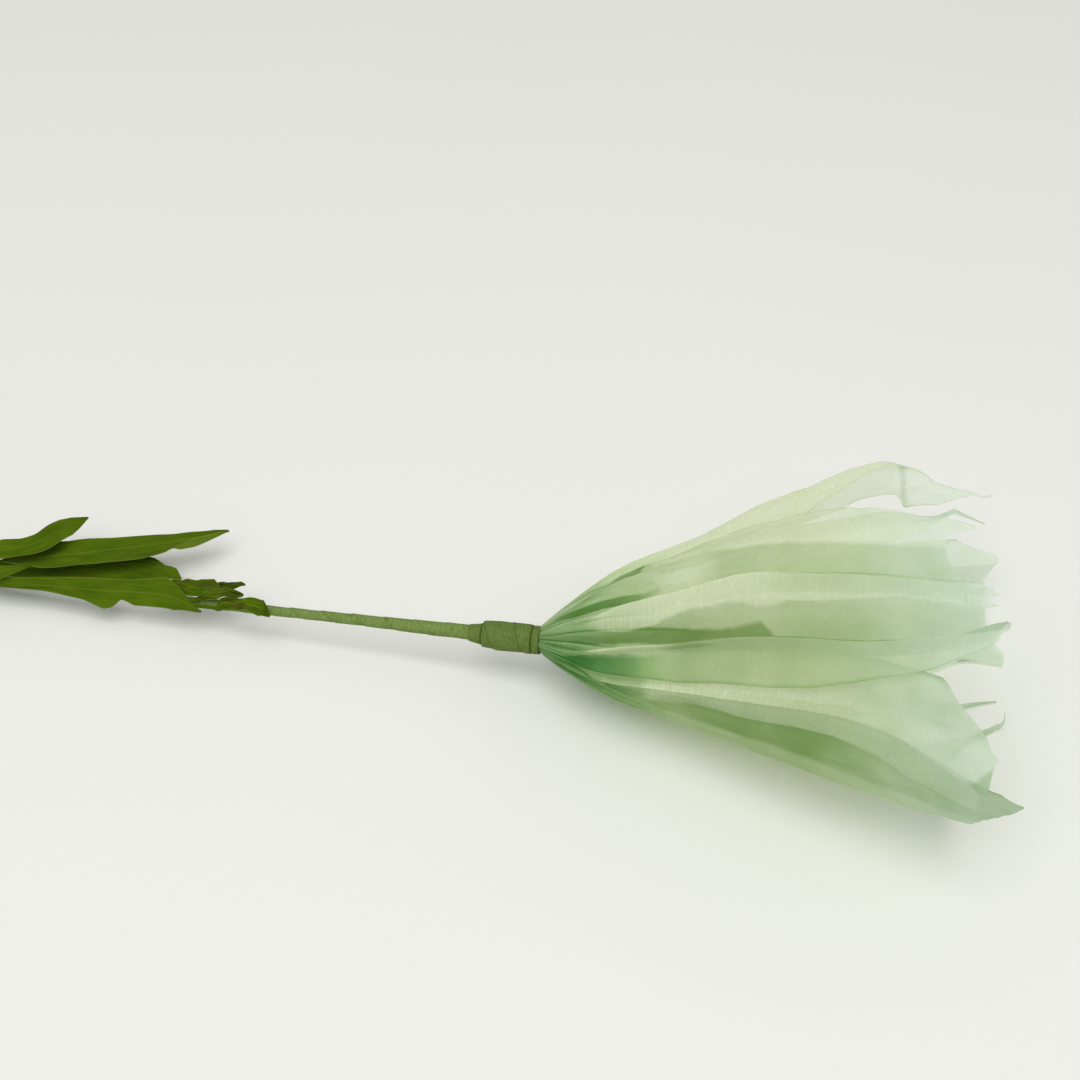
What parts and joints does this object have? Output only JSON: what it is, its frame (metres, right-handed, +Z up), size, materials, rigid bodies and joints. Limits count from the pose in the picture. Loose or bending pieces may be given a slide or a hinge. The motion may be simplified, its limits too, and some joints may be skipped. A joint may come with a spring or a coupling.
{
  "type": "paper flower",
  "caption": "Long-stemmed closed paper flower lying down: folded translucent petals gathered by a taped collar on a paper-wrapped wire stem with folded green leaves.",
  "frame": {"origin": "centre of the flower's bounding box, at table level", "axes": "+X along the stem from its cut foot to the petal tips, +Y to the left of that, +Z up from the table"},
  "size_m": [0.5896, 0.2168, 0.1192],
  "materials": {
    "petal_paper": "matte translucent",
    "leaf_paper": "matte",
    "tape": "matte crepe",
    "wire": "cut end"
  },
  "bodies": {
    "root": {"stem_wire": "wire", "stem_tape": "tape", "collar_wrap": "tape", "leaf_wrap": "tape", "petal_01": "petal_paper", "petal_02": "petal_paper", "petal_03": "petal_paper", "petal_04": "petal_paper", "petal_05": "petal_paper", "petal_06": "petal_paper", "petal_07": "petal_paper", "petal_08": "petal_paper", "petal_09": "petal_paper", "petal_10": "petal_paper", "petal_11": "petal_paper", "leaf_1": "leaf_paper", "leaf_2": "leaf_paper", "leaf_3": "leaf_paper", "leaf_4": "leaf_paper", "leaf_5": "leaf_paper", "leaflet_1": "leaf_paper", "leaflet_2": "leaf_paper", "leaflet_3": "leaf_paper", "leaflet_4": "leaf_paper"}
  },
  "joints": []
}
